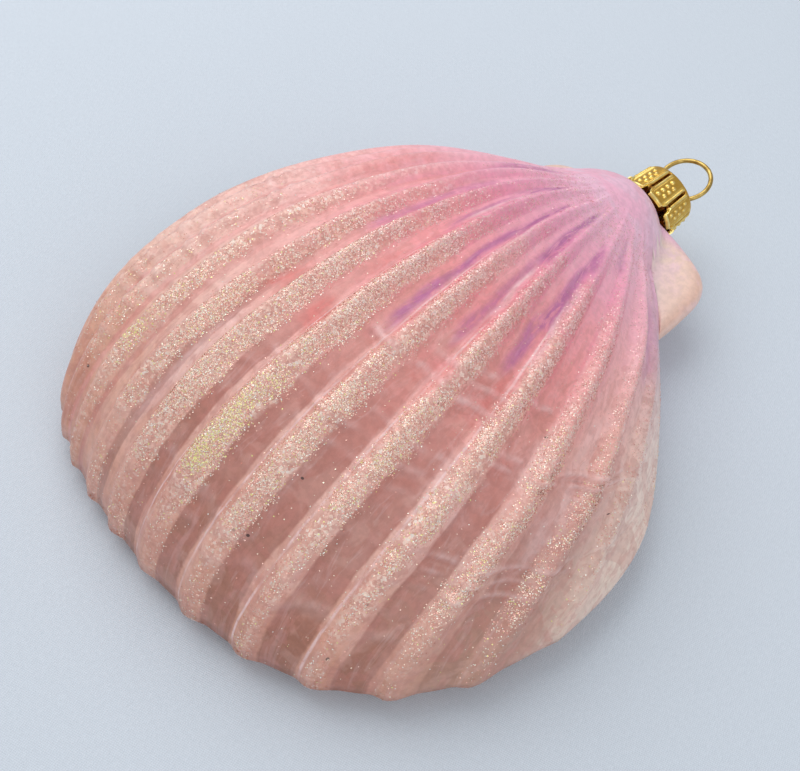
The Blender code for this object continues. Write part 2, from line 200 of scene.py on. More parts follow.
def in_frost(s, w):
    """How far inside a band of glitter a point lies, in ribs; below zero outside."""
    ribs = rib_count(s, w) + 0.035 * waver(s * 26.0, w * 34.0, 3.0) + 0.02 * waver(s * 90.0, w * 110.0, 5.0)
    rib = np.rint(ribs)
    late = smooth_step((s - 0.74) / 0.10)
    centre = np.interp(rib, (-2, -1, 0, 1, 2, 3, 4, 5), (0.00, 0.06, 0.0, 0.03, -0.01, -0.03, -0.04, -0.06))
    half = np.interp(rib, (-2, -1, 0, 1, 2, 3, 4, 5), (0.15, 0.15, 0.24, 0.20, 0.165, 0.16, 0.17, 0.20))
    centre = centre - late * np.interp(rib, (1, 2, 5), (0.0, 0.03, 0.10))
    half = half - late * np.interp(rib, (1, 2, 5), (0.0, 0.03, 0.07))
    return np.clip(half - np.abs(ribs - rib - centre), -0.15, 0.15)


def growth_relief(s, w):
    """Low ridges that cross the ribs, bowed towards the margin on each crest."""
    bow = 0.005 * np.cos(2.0 * math.pi * rib_count(s, w)) + 0.004 * waver(s * 3.0, w * 22.0, 5.0)
    total = np.zeros(s.shape)
    for place, height, across, spread in GROWTH_LINES:
        near = np.exp(-(((w - across) / spread) ** 4))
        broken = smooth_step(0.62 + 0.8 * waver(w * 40.0, s * 6.0, place * 40.0))
        offset = s - place - bow
        profile = np.exp(-((offset / 0.0058) ** 2)) - 0.7 * np.exp(-(((offset - 0.012) / 0.0062) ** 2))
        total = total + 1.5 * height * near * broken * profile
    return total


# Brush strokes and painted highlights: paint, rib count across, half width in ribs, start and end along,
# strength.
STROKES = (
    ("violet", 0.27, 0.11, 0.20, 0.34, 1.0), ("violet", 0.36, 0.07, 0.29, 0.48, 0.7),
    ("violet", 1.50, 0.12, 0.22, 0.40, 1.0), ("violet", 1.42, 0.09, 0.34, 0.66, 0.95),
    ("violet", 1.26, 0.07, 0.640, 0.680, 0.9), ("violet", 2.54, 0.15, 0.17, 0.42, 1.0),
    ("violet", 2.44, 0.10, 0.36, 0.60, 0.7), ("violet", 3.74, 0.10, 0.24, 0.37, 0.9),
    ("violet", 3.60, 0.14, 0.30, 0.52, 1.0), ("violet", 3.45, 0.12, 0.46, 0.60, 0.9),
    ("violet", -0.62, 0.12, 0.30, 0.58, 0.6), ("violet", -1.85, 0.18, 0.16, 0.32, 0.6),
    ("violet", 4.70, 0.16, 0.16, 0.30, 0.5), ("violet", 6.85, 0.20, 0.28, 0.52, 0.45),
    ("coral", -0.60, 0.30, 0.640, 0.735, 1.0), ("coral", 0.45, 0.30, 0.640, 0.750, 1.0),
    ("coral", 0.42, 0.18, 0.52, 0.63, 0.5), ("coral", 3.62, 0.14, 0.57, 0.72, 0.8),
    ("coral", -1.70, 0.30, 0.62, 0.71, 0.6), ("coral", -3.10, 0.45, 0.36, 0.58, 0.6),
    ("coral", -4.20, 0.45, 0.38, 0.58, 0.6), ("coral", 2.35, 0.18, 0.60, 0.74, 0.4),
    # Painted highlight: the narrow pale stroke at 2.58 is a window reflection in a groove; those at 1.66 and
    # 3.78 are light on a rib's steep foot.
    ("pale", 2.58, 0.045, 0.39, 0.55, 1.0), ("pale", 0.44, 0.04, 0.26, 0.45, 0.8),
    ("pale", 1.66, 0.04, 0.26, 0.50, 0.7), ("pale", 3.78, 0.04, 0.36, 0.58, 0.7),
    ("pale", 5.80, 0.20, 0.55, 0.86, 0.4), ("pale", 3.95, 0.25, 0.70, 0.84, 0.4),
    ("pale", -0.60, 0.14, 0.74, 0.96, 0.4), ("pale", 1.95, 0.30, 0.34, 0.50, 0.30),
    ("pale", 2.95, 0.25, 0.66, 0.72, 0.35), ("pale", 4.95, 0.30, 0.62, 0.74, 0.35),
)


def brushed(s, w, paint):
    """How strongly the strokes of one paint cover a point, from 0 to 1; some "pale" strokes are painted
    highlight.
    """
    ribs = w / RIB_PITCH + 0.05 * waver(s * 30.0, w * 20.0, 4.0)
    ends = s + 0.012 * waver(w * 90.0, s * 4.0, 6.0)
    total = np.zeros(np.broadcast(s, w).shape)
    for name, middle, half_width, start, end, strength in STROKES:
        if name == paint:
            across = np.exp(-(np.abs((ribs - middle) / (1.15 * half_width)) ** 3))
            along = smooth_step((ends - start) / 0.05) * (1.0 - smooth_step((ends - end) / 0.05 + 1.0))
            total = np.maximum(total, strength * across * along)
    return total


def dents(s, w):
    """Shallow unevenness of the blown glass, none at the umbo or the margin."""
    return (0.16 * waver(s * 11.0, w * 9.0, 1.0) * smooth_step(s / 0.3)
            * (1.0 - smooth_step((s - 0.93) / 0.07)))


def smooth_curve(knots, count):
    """Points on a Catmull-Rom curve through the knots."""
    knots = np.array(knots)
    knots = np.vstack([2 * knots[0] - knots[1], knots, 2 * knots[-1] - knots[-2]])
    spans = len(knots) - 3
    points = []
    for position in np.linspace(0.0, spans, count):
        span = min(int(position), spans - 1)
        t = position - span
        p0, p1, p2, p3 = knots[span:span + 4]
        points.append(0.5 * (2 * p1 + (p2 - p0) * t + (2 * p0 - 5 * p1 + 4 * p2 - p3) * t * t
                             + (3 * p1 - p0 - 3 * p2 + p3) * t**3))
    return np.array(points)


def add_sheet(name, x, y, z, layers):
    """A grid primitive whose points are then moved to x, y, z, in millimetres from the umbo."""
    rows, columns = x.shape
    bpy.ops.mesh.primitive_grid_add(x_subdivisions=columns - 1, y_subdivisions=rows - 1, size=1.0)
    sheet = bpy.context.active_object
    sheet.name = name
    start = np.empty(rows * columns * 3, np.float32)
    sheet.data.vertices.foreach_get("co", start)
    start = start.reshape(-1, 3)
    column = np.rint((start[:, 0] + 0.5) * (columns - 1)).astype(int)
    row = np.rint((start[:, 1] + 0.5) * (rows - 1)).astype(int)
    place = np.stack([x, y, z], axis=-1)[row, column].astype(np.float32)
    sheet.data.vertices.foreach_set("co", place.ravel())
    for label, values in layers.items():
        kind, slot = ("FLOAT", "value") if values.ndim == 2 else ("FLOAT_VECTOR", "vector")
        layer = sheet.data.attributes.new(label, kind, "POINT")
        layer.data.foreach_set(slot, values[row, column].astype(np.float32).ravel())
    while sheet.data.uv_layers:
        sheet.data.uv_layers.remove(sheet.data.uv_layers[0])
    return sheet


def shell_half(name, side, ear_rows, margin_rows, per_rib, edge_columns, across, behind, reach):
    """One half of the skin, from the plane of the rim up or down: its fan and its skirt."""
    height = upper_height if side > 0 else lower_height
    to_ear = EAR_END * np.linspace(0.0, 1.0, ear_rows) ** 1.25
    t = np.linspace(0.0, 1.0, margin_rows)
    to_margin = EAR_END + (1.0 - EAR_END) * (0.72 * t + 0.28 * np.sin(t * math.pi / 2))
    rows = np.concatenate([to_ear, to_margin[1:]])
    ribs = int(round(OUTER_RIB / RIB_PITCH))
    middle = np.linspace(-OUTER_RIB, OUTER_RIB, 2 * ribs * per_rib + 1)
    edge = OUTER_RIB + (1.0 - OUTER_RIB) * np.sin(np.linspace(0, 1, edge_columns + 1)[1:] * math.pi / 2)
    s, w = np.meshgrid(rows * reach, np.concatenate([-edge[::-1], middle, edge]), indexing="ij")
    x, y = fan_point(s, w)
    outline = smooth_curve([[float(v) for v in fan_point(np.array(EAR_END), np.array(1.0))],
                            *EAR_OUTLINE, HINGE_INNER], ear_rows)
    inner = np.column_stack(fan_point(to_ear[::-1] * reach, np.ones(ear_rows)))
    width = np.hypot(*(outline - inner).T)
    ear_height = EAR_HALF_THICKNESS * np.sqrt(np.clip(width / EAR_FULL_WIDTH, 0.0, 1.0))
    ear_over_fan = np.interp(s, to_ear * reach, ear_height[::-1], right=0.0)
    hood = np.where(s < EAR_END * reach, hood_height(x, y, side), 0.0)
    z = smooth_max(height(s, w), hood, np.minimum(HOOD_FILLET, HOOD_FILLET_SHARE * hood))
    z = smooth_max(z, ear_over_fan, 1.2 * ear_over_fan / EAR_HALF_THICKNESS)
    relief = rib_relief(s, w, side) + dents(s, w)
    pale = brushed(s, w, "pale")
    if side > 0:
        grown = growth_relief(s, w)
        relief = relief + grown
        # Painted highlight: the growth ridges are also lightened in the pale channel, as if their crests
        # caught the light.
        pale = np.maximum(pale, np.clip(1.2 * grown, 0.0, 0.36))
    layers = {"fan": np.stack([s, w, np.full(s.shape, side)], axis=-1), "relief": relief,
              "brush_and_highlight": np.stack([brushed(s, w, "violet"), brushed(s, w, "coral"), pale], axis=-1),
              "zones": np.stack([in_groove(s, w), in_frost(s, w), rib_count(s, w)], axis=-1)}
    fan = add_sheet(name, x, y, side * z, layers)

    hinge = np.linspace(HINGE_INNER[0], -HINGE_INNER[0], behind + 2)[1:-1]
    left_inner = np.column_stack(fan_point(to_ear * reach, -np.ones(ear_rows)))
    left_outline = outline[::-1] * (-LEFT_EAR_SHARE, 1.0)
    left_outline[-1] = fan_point(np.array(EAR_END), np.array(-1.0))
    skirt_inner = np.vstack([inner, np.zeros((behind, 2)), left_inner])
    hinge_line = np.column_stack([hinge, np.full(behind, HINGE_INNER[1])])
    skirt_outer = np.vstack([outline, hinge_line, left_outline])
    skirt_ear = np.concatenate([ear_height, np.full(behind, EAR_HALF_THICKNESS), ear_height[::-1]])[:, None]
    v = np.sin(np.linspace(0.0, 1.0, across) * math.pi / 2)[None, :] * reach
    skirt_x = skirt_inner[:, :1] + (skirt_outer - skirt_inner)[:, :1] * v
    skirt_y = skirt_inner[:, 1:] + (skirt_outer - skirt_inner)[:, 1:] * v
    edge_fall = np.sqrt(np.clip(1.0 - v**6, 0.0, 1.0))
    ear = skirt_ear * edge_fall
    hood = hood_height(skirt_x, skirt_y, side) * edge_fall
    z = smooth_max(ear, hood, 1.2 * ear / EAR_HALF_THICKNESS)
    skirt_s = np.concatenate([to_ear[::-1], np.zeros(behind), to_ear])[:, None] * np.ones_like(v)
    turn = np.concatenate([np.ones(ear_rows), np.linspace(1.0, -1.0, behind), -np.ones(ear_rows)])[:, None]
    past_hood = smooth_step((ear - hood + 0.6) / 0.8)
    past_edge = turn * (1.0 + v * past_hood)
    no_band = np.full(z.shape, -0.15)
    layers = {"fan": np.stack([skirt_s, past_edge, np.full(skirt_s.shape, side)], axis=-1),
              "relief": np.zeros_like(z), "brush_and_highlight": np.zeros((*z.shape, 3)),
              "zones": np.stack([no_band, no_band, 8.0 * turn * np.ones_like(v)], axis=-1)}
    skirt = add_sheet(name + "_ears", skirt_x, skirt_y, side * z, layers)
    return [fan, skirt]


def join(pieces, name):
    bpy.ops.object.select_all(action="DESELECT")
    for piece in pieces:
        piece.select_set(True)
    bpy.context.view_layer.objects.active = pieces[0]
    bpy.ops.object.join()
    pieces[0].name = pieces[0].data.name = name
    return pieces[0]


upper = join(shell_half("glass_skin", 1, 62, 170, 20, 12, 14, 17, 1.0), "glass_skin")
lower = join(shell_half("underside", -1, 34, 44, 12, 6, 8, 9, 0.997), "underside")
for half in (upper, lower):
    bpy.ops.object.select_all(action="DESELECT")
    half.select_set(True)
    bpy.context.view_layer.objects.active = half
    bpy.ops.object.mode_set(mode="EDIT")
    bpy.ops.mesh.select_all(action="SELECT")
    bpy.ops.mesh.remove_doubles(threshold=0.002)
    bpy.ops.mesh.normals_make_consistent(inside=False)
    bpy.ops.object.mode_set(mode="OBJECT")
shell = join([upper, lower], "glass_skin")
bpy.ops.object.mode_set(mode="EDIT")
bpy.ops.mesh.select_mode(type="EDGE")
bpy.ops.mesh.select_all(action="DESELECT")
bpy.ops.mesh.select_non_manifold(extend=False, use_wire=False, use_multi_face=False,
                                 use_non_contiguous=False, use_verts=False)
bpy.ops.mesh.bridge_edge_loops()
bpy.ops.mesh.select_all(action="SELECT")
bpy.ops.mesh.normals_make_consistent(inside=False)
bpy.ops.object.mode_set(mode="OBJECT")

normals = np.empty(len(shell.data.vertices) * 3, np.float32)
shell.data.vertices.foreach_get("normal", normals)
places = np.empty_like(normals)
shell.data.vertices.foreach_get("co", places)
embossed = np.empty(len(shell.data.vertices), np.float32)
shell.data.attributes["relief"].data.foreach_get("value", embossed)
places = places.reshape(-1, 3) + normals.reshape(-1, 3) * embossed[:, None]
shell.data.vertices.foreach_set("co", places.astype(np.float32).ravel())
shell.data.attributes.remove(shell.data.attributes["relief"])
shell.data.transform(RESTING)
shell.data.update()
bpy.ops.object.shade_smooth()


def linear(red, green, blue):
    """A colour written as it looks, 0 to 255, for a shader socket."""
    out = []
    for value in (red, green, blue):
        value = value / 255.0
        out.append(value / 12.92 if value <= 0.04045 else ((value + 0.055) / 1.055) ** 2.4)
    return (*out, 1.0)


def add_node(tree, kind, **settings):
    node = tree.nodes.new(kind)
    for name, value in settings.items():
        setattr(node, name, value)
    return node


def plug(tree, socket, value):
    if isinstance(value, bpy.types.NodeSocket):
        tree.links.new(value, socket)
    elif value is not None:
        socket.default_value = value


def math_node(tree, operation, *values):
    node = add_node(tree, "ShaderNodeMath", operation=operation)
    for socket, value in zip(node.inputs, values):
        plug(tree, socket, value)
    return node.outputs[0]


def times(tree, first, second):
    return math_node(tree, "MULTIPLY", first, second)


def ramp_between(tree, value, low, high, out_low=0.0, out_high=1.0):
    node = add_node(tree, "ShaderNodeMapRange", interpolation_type="SMOOTHSTEP")
    parts = {"Value": value, "From Min": low, "From Max": high, "To Min": out_low, "To Max": out_high}
    for name, part in parts.items():
        plug(tree, node.inputs[name], part)
    return node.outputs["Result"]


def colour_ramp(tree, value, stops):
    node = add_node(tree, "ShaderNodeValToRGB")
    ramp = node.color_ramp
    while len(ramp.elements) < len(stops):
        ramp.elements.new(0.5)
    for element, (position, colour) in zip(ramp.elements, stops):
        element.position = position
        element.color = linear(*colour)
    plug(tree, node.inputs["Fac"], value)
    return node.outputs["Color"]


def mix_colour(tree, amount, below, above):
    node = add_node(tree, "ShaderNodeMix", data_type="RGBA")
    plug(tree, node.inputs[0], amount)
    plug(tree, node.inputs[6], linear(*below) if isinstance(below, tuple) else below)
    plug(tree, node.inputs[7], linear(*above) if isinstance(above, tuple) else above)
    return node.outputs[2]


def noise(tree, vector, scale, detail=3.0, roughness=0.55, distortion=0.0):
    node = add_node(tree, "ShaderNodeTexNoise")
    plug(tree, node.inputs["Vector"], vector)
    settings = {"Scale": scale, "Detail": detail, "Roughness": roughness, "Distortion": distortion}
    for name, value in settings.items():
        node.inputs[name].default_value = value
    return node.outputs["Fac"]


def stretched(tree, vector, scale):
    node = add_node(tree, "ShaderNodeMapping")
    plug(tree, node.inputs["Vector"], vector)
    node.inputs["Scale"].default_value = scale
    return node.outputs["Vector"]


def attribute_parts(tree, name):
    """A vector attribute's three values."""
    split = add_node(tree, "ShaderNodeSeparateXYZ")
    plug(tree, split.inputs[0], add_node(tree, "ShaderNodeAttribute", attribute_name=name).outputs["Vector"])
    return split.outputs["X"], split.outputs["Y"], split.outputs["Z"]


def band(tree, value, start, end, soft):
    """1 between start and end, with soft sides."""
    rise = ramp_between(tree, value, start - soft, start + soft)
    fall = ramp_between(tree, value, end - soft, end + soft, 1.0, 0.0)
    return times(tree, rise, fall)


# Specks of dirt caught in the lacquer, as places along and across the fan.
SPECKS = (
    (0.845, 0.2608), (0.926, 0.2283), (0.924, 0.2508), (0.980, 0.4809), (0.919, 0.4809), (0.859, 0.6123),
    (0.679, 0.3533), (0.639, 0.5785), (0.944, -0.3333), (0.773, 0.8349),
)

paint = bpy.data.materials.new("painted_glass")
paint.use_nodes = True
tree = paint.node_tree
gloss = tree.nodes["Principled BSDF"]
fan_place = add_node(tree, "ShaderNodeAttribute", attribute_name="fan").outputs["Vector"]
along, across_fan = attribute_parts(tree, "fan")[:2]
coords = add_node(tree, "ShaderNodeTexCoord").outputs["Object"]

# Brushed streaks run along the ribs, and blotches wander over them.
streaks = noise(tree, stretched(tree, fan_place, (15.0, 40.0, 1.0)), 1.0, 5.0, 0.65, 1.2)
blotches = noise(tree, coords, 170.0, 4.0, 0.6, 0.6)
fine = noise(tree, coords, 900.0, 3.0, 0.6)
unevenness = math_node(tree, "SUBTRACT", blotches, 0.5)
wander = times(tree, unevenness, 0.22)
inside_groove, inside_frost, ribs = attribute_parts(tree, "zones")
phase = math_node(tree, "FRACT", math_node(tree, "ADD", ribs, times(tree, wander, 0.3)))
s_wander = math_node(tree, "ADD", along, times(tree, unevenness, 0.16))

crest_colour = colour_ramp(tree, s_wander, (
    (0.00, (253, 188, 212)), (0.18, (252, 182, 206)), (0.34, (244, 158, 184)), (0.50, (243, 150, 158)),
    (0.68, (238, 169, 160)), (0.84, (235, 185, 171)), (0.95, (224, 166, 146)), (1.00, (210, 148, 124))))
groove_colour = colour_ramp(tree, s_wander, (
    (0.00, (253, 188, 212)), (0.18, (254, 182, 206)), (0.34, (255, 178, 196)), (0.50, (248, 160, 162)),
    (0.66, (222, 148, 140)), (0.80, (190, 126, 114)), (0.92, (180, 122, 106)), (1.00, (168, 110, 88))))
ribbed = band(tree, across_fan, -0.80, 0.83, 0.05)
grooved = math_node(tree, "ADD", inside_groove, times(tree, wander, 0.5))
grooved = ramp_between(tree, grooved, -0.02, 0.025)
grooved = times(tree, grooved, times(tree, ribbed, ramp_between(tree, along, 0.12, 0.35)))
colour = mix_colour(tree, grooved, crest_colour, groove_colour)

# The far side is pinker in the middle and tan at the margin; the near side fades to cream.
far_colour = colour_ramp(tree, s_wander, (
    (0.10, (246, 172, 194)), (0.30, (250, 190, 202)), (0.48, (255, 192, 194)), (0.66, (246, 196, 186)),
    (0.80, (240, 196, 180)), (0.92, (224, 170, 144)), (1.00, (206, 140, 112))))
colour = mix_colour(tree, ramp_between(tree, ribs, 0.0, -3.5, 0.0, 0.9), colour, far_colour)
far_groove = times(tree, grooved, ramp_between(tree, ribs, -0.5, -2.5, 0.0, 0.5))
colour = mix_colour(tree, far_groove, colour, (238, 158, 152))
near_colour = colour_ramp(tree, s_wander, (
    (0.10, (250, 190, 212)), (0.30, (248, 188, 202)), (0.50, (250, 198, 194)), (0.64, (242, 186, 174)),
    (0.80, (202, 151, 140)), (0.92, (188, 142, 126)), (1.00, (188, 144, 124))))
colour = mix_colour(tree, ramp_between(tree, ribs, 4.2, 6.0, 0.0, 0.8), colour, near_colour)
cream = colour_ramp(tree, along, (
    (0.00, (240, 190, 212)), (0.40, (226, 180, 200)), (0.55, (240, 206, 198)), (0.70, (246, 220, 206)),
    (1.00, (236, 212, 196))))
near_edge = ramp_between(tree, math_node(tree, "ADD", across_fan, times(tree, wander, 0.4)), 0.74, 0.93)
colour = mix_colour(tree, near_edge, colour, cream)
ear_colour = colour_ramp(tree, math_node(tree, "SUBTRACT", math_node(tree, "ABSOLUTE", across_fan), 1.0), (
    (0.00, (240, 216, 212)), (0.30, (244, 216, 202)), (0.70, (246, 212, 194)), (0.92, (240, 196, 176)),
    (1.00, (244, 206, 190))))
on_ear = ramp_between(tree, math_node(tree, "ABSOLUTE", across_fan), 0.99, 1.03)
colour = mix_colour(tree, times(tree, on_ear, ramp_between(tree, along, 0.02, 0.10)), colour, ear_colour)

# Violet and coral brush strokes, and painted highlight along the lit foot of each rib.
violet_strokes, coral_strokes, pale_and_highlight_strokes = attribute_parts(tree, "brush_and_highlight")
bristles = ramp_between(tree, streaks, 0.36, 0.50, 0.45, 1.0)
dabs = ramp_between(tree, blotches, 0.36, 0.58, 0.15, 1.0)
veil = ramp_between(tree, blotches, 0.46, 0.60, 0.0, 0.45)
veil = times(tree, veil, ramp_between(tree, along, 0.34, 0.12))
colour = mix_colour(tree, veil, colour, (246, 206, 226))
patches = noise(tree, coords, 150.0, 3.0, 0.55, 0.8)
lower_half = ramp_between(tree, along, 0.45, 0.65)
light_patch = times(tree, ramp_between(tree, patches, 0.51, 0.60, 0.0, 0.18), lower_half)
colour = mix_colour(tree, light_patch, colour, (236, 190, 178))
dark_patch = times(tree, ramp_between(tree, patches, 0.455, 0.435, 0.0, 0.30), lower_half)
colour = mix_colour(tree, dark_patch, colour, (196, 124, 112))
violet = times(tree, violet_strokes, bristles)
colour = mix_colour(tree, times(tree, violet, 0.85), colour, (182, 100, 158))
coral = times(tree, coral_strokes, dabs)
colour = mix_colour(tree, times(tree, coral, 0.8), colour, (222, 116, 110))
# Painted highlight: a thin pale line where the steep flank at each rib's foot faces the light, fading on the
# near side.
lit_foot_highlight = times(tree, band(tree, phase, 0.700, 0.735, 0.012), ramp_between(tree, along, 0.34, 0.52))
lit_foot_highlight = times(tree, lit_foot_highlight, times(tree, ribbed, ramp_between(tree, blotches, 0.38, 0.56, 0.3, 0.9)))
lit_foot_highlight = times(tree, lit_foot_highlight, ramp_between(tree, ribs, 5.0, 3.5, 0.15, 1.0))
highlight_and_pale_lines = math_node(tree, "MAXIMUM", lit_foot_highlight, times(tree, pale_and_highlight_strokes, bristles))
colour = mix_colour(tree, times(tree, highlight_and_pale_lines, 0.75), colour, (252, 222, 222))
pale = ramp_between(tree, streaks, 0.52, 0.64, 0.0, 0.15)
colour = mix_colour(tree, pale, colour, (242, 208, 208))
smears = noise(tree, stretched(tree, fan_place, (30.0, 48.0, 1.0)), 1.0, 4.0, 0.65, 0.8)
deep = times(tree, ramp_between(tree, smears, 0.50, 0.56, 0.0, 0.30), ramp_between(tree, along, 0.20, 0.60))
colour = mix_colour(tree, deep, colour, (200, 136, 126))
for speck_s, speck_w in SPECKS:
    offset = add_node(tree, "ShaderNodeVectorMath", operation="SUBTRACT")
    plug(tree, offset.inputs[0], fan_place)
    offset.inputs[1].default_value = (speck_s, speck_w, 1.0)
    scaled = add_node(tree, "ShaderNodeVectorMath", operation="MULTIPLY")
    plug(tree, scaled.inputs[0], offset.outputs[0])
    scaled.inputs[1].default_value = (SHELL_LENGTH, 0.5 * SHELL_LENGTH, 1.0)
    away = add_node(tree, "ShaderNodeVectorMath", operation="LENGTH")
    plug(tree, away.inputs[0], scaled.outputs[0])
    speck = ramp_between(tree, away.outputs["Value"], 0.12, 0.19, 0.9, 0.0)
    colour = mix_colour(tree, speck, colour, (60, 34, 30))

# The finest glitter, too small to be flakes of its own: a grain of bright and dull cells.
cells = add_node(tree, "ShaderNodeTexVoronoi")
plug(tree, cells.inputs["Vector"], coords)
cells.inputs["Scale"].default_value = 2500.0
cell_value = add_node(tree, "ShaderNodeSeparateColor")
tree.links.new(cells.outputs["Color"], cell_value.inputs[0])
# Painted glints: the brightest, near-white cells stand in for light caught by tiny flakes; the rest is the
# glitter's pale colour.
grain_and_glint_colour = colour_ramp(tree, cell_value.outputs[0], (
    (0.00, (206, 150, 136)), (0.45, (228, 174, 158)), (0.75, (250, 206, 188)), (0.92, (255, 236, 218)),
    (1.00, (255, 250, 240))))
frosted = math_node(tree, "ADD", inside_frost, times(tree, wander, 0.5))
frosted = ramp_between(tree, frosted, -0.07, 0.05)
frosted = times(tree, frosted, times(tree, ribbed, ramp_between(tree, along, 0.28, 0.60)))
frosted = times(tree, frosted, ramp_between(tree, blotches, 0.34, 0.56, 0.25, 0.75))
frosted = times(tree, frosted, ramp_between(tree, ribs, 5.6, 4.0, 0.1, 1.0))
frosted = times(tree, frosted, ramp_between(tree, ribs, -2.8, -2.0, 0.25, 1.0))
frosted = times(tree, frosted, ramp_between(tree, along, 0.90, 0.98, 1.0, 0.3))
colour = mix_colour(tree, frosted, colour, grain_and_glint_colour)
mottled = ramp_between(tree, fine, 0.35, 0.65, 0.93, 1.05)
darkened = add_node(tree, "ShaderNodeVectorMath", operation="SCALE")
plug(tree, darkened.inputs[0], colour)
plug(tree, darkened.inputs["Scale"], mottled)
tree.links.new(darkened.outputs[0], gloss.inputs["Base Color"])
plug(tree, gloss.inputs["Roughness"], ramp_between(tree, streaks, 0.3, 0.7, 0.36, 0.52))
gloss.inputs["Coat Weight"].default_value = 0.25
gloss.inputs["Coat Roughness"].default_value = 0.22
bump = add_node(tree, "ShaderNodeBump")
bump.inputs["Strength"].default_value = 0.35
bump.inputs["Distance"].default_value = 0.0002
brush_marks = math_node(tree, "ADD", times(tree, streaks, 0.8), times(tree, blotches, 0.9))
tree.links.new(brush_marks, bump.inputs["Height"])
tree.links.new(bump.outputs["Normal"], gloss.inputs["Normal"])
shell.data.materials.clear()
shell.data.materials.append(paint)
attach(shell, "root")
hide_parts("glass_shell")

# ---------------------------------------------------------------------------------------------
# Glitter. Fine pearly flakes shaken onto wet lacquer along the crest of each rib, thick in the
# middle of the shell and thinning out towards the umbo, the margin and the ears.
# ---------------------------------------------------------------------------------------------

FLAKES = 76000
FLAKE_HALF_SIZE = (0.040, 0.105)    # the smallest and the largest, in millimetres
FLAKE_TILT = 0.27
FLAKE_LIFT = 0.035
random = np.random.default_rng(7)


def glitter_thickness(s, w):
    """How thickly the flakes lie, from 0 to 1."""
    ribs = rib_count(s, w)
    in_band = smooth_step(0.5 + in_frost(s, w) / 0.28)
    by_rib = np.interp(ribs, (-5, -3, -2, -1, 0, 1, 2, 3, 4, 5, 6, 7),
                       (0.04, 0.25, 0.60, 0.85, 0.9, 1.0, 0.9, 0.85, 0.72, 0.62, 0.42, 0.10))
    start = np.interp(ribs, (-3, -1, 0, 1, 3, 6), (0.50, 0.36, 0.25, 0.22, 0.22, 0.22))
    along_rib = smooth_step((s - start) / 0.40) * (1.0 - 0.85 * smooth_step((s - 0.88) / 0.09))
    clumps = np.clip(0.66 + 0.55 * waver(s * 34.0, w * 30.0, 9.0), 0.12, 1.2)
    clumps = clumps * (1.0 - np.clip(3.0 * growth_relief(s, w), 0.0, 0.75))
    dusting = 0.0025 + 0.10 * smooth_step((0.34 - s) / 0.16) * smooth_step((s - 0.08) / 0.10)
    dusting = (dusting * smooth_step((s - 0.05) / 0.15)
               * np.interp(ribs, (-3, -1, 6, 7.2), (0.2, 1.0, 1.0, 0.1)))
    return np.clip(in_band * along_rib * by_rib * clumps + dusting, 0.0, 1.0)


shell.data.calc_loop_triangles()
corner_ids = np.empty(len(shell.data.loop_triangles) * 3, np.int32)
shell.data.loop_triangles.foreach_get("vertices", corner_ids)
corner_ids = corner_ids.reshape(-1, 3)
shell_points = np.empty(len(shell.data.vertices) * 3, np.float32)
shell.data.vertices.foreach_get("co", shell_points)
shell_points = shell_points.reshape(-1, 3).astype(float)
shell_normals = np.empty(shell_points.size, np.float32)
shell.data.vertices.foreach_get("normal", shell_normals)
shell_normals = shell_normals.reshape(-1, 3).astype(float)
shell_fan = np.empty(shell_points.size, np.float32)
shell.data.attributes["fan"].data.foreach_get("vector", shell_fan)
shell_fan = shell_fan.reshape(-1, 3).astype(float)

corners = shell_points[corner_ids]
areas = np.linalg.norm(np.cross(corners[:, 1] - corners[:, 0], corners[:, 2] - corners[:, 0]), axis=1)
middles = shell_fan[corner_ids].mean(axis=1)
chance = areas * glitter_thickness(middles[:, 0], middles[:, 1])
chance = chance * np.where(middles[:, 2] > 0.0, 1.0, 0.15) * (np.abs(middles[:, 1]) < 1.0)
picked = random.choice(len(areas), size=FLAKES, p=chance / chance.sum())
shares = random.dirichlet((1.0, 1.0, 1.0), size=FLAKES)[:, :, None]
flake_at = (corners[picked] * shares).sum(axis=1)
facing = (shell_normals[corner_ids[picked]] * shares).sum(axis=1)
facing = facing / np.linalg.norm(facing, axis=1)[:, None]
tilted = facing + random.normal(0.0, FLAKE_TILT, size=(FLAKES, 3))
tilted = tilted / np.linalg.norm(tilted, axis=1)[:, None]
sideways = np.cross(tilted, random.normal(size=(FLAKES, 3)))
sideways = sideways / np.linalg.norm(sideways, axis=1)[:, None]
endways = np.cross(tilted, sideways)
sizes = random.uniform(*FLAKE_HALF_SIZE, size=FLAKES)[:, None] * MM
flake_at = flake_at + facing * FLAKE_LIFT * MM
outline = ((-1.0, -0.8), (0.9, -1.0), (1.0, 0.9), (-0.8, 1.0))
flake_points = np.stack([flake_at + sizes * (a * sideways + b * endways) for a, b in outline], axis=1)
glitter_mesh = bpy.data.meshes.new("glitter")
glitter_mesh.from_pydata(flake_points.reshape(-1, 3), [], np.arange(FLAKES * 4).reshape(-1, 4))
tint = glitter_mesh.attributes.new("tint", "FLOAT", "FACE")
flake_fan = (shell_fan[corner_ids[picked]] * shares).sum(axis=1)
flake_ribs = flake_fan[:, 1] / RIB_PITCH
golden = 0.6 * np.exp(-((flake_ribs - 0.85) / 0.25) ** 2 - ((flake_fan[:, 0] - 0.84) / 0.06) ** 2)
golden = golden + 0.8 * np.exp(-((flake_ribs - 0.80) / 0.14) ** 2 - ((flake_fan[:, 0] - 0.905) / 0.02) ** 2)
golden = golden + np.exp(-((flake_ribs + 2.05) / 0.25) ** 2 - ((flake_fan[:, 0] - 0.87) / 0.02) ** 2)
yellow = random.random(FLAKES) < 0.05 + 0.50 * golden
tints = np.where(yellow, 0.90 + 0.10 * random.random(FLAKES), 0.85 * random.random(FLAKES))
tint.data.foreach_set("value", tints.astype(np.float32))
rosy = glitter_mesh.attributes.new("rosy", "FLOAT", "FACE")
rosy.data.foreach_set("value", smooth_step((0.80 - flake_fan[:, 0]) / 0.45).astype(np.float32))
glitter = bpy.data.objects.new("glitter", glitter_mesh)
bpy.context.scene.collection.objects.link(glitter)

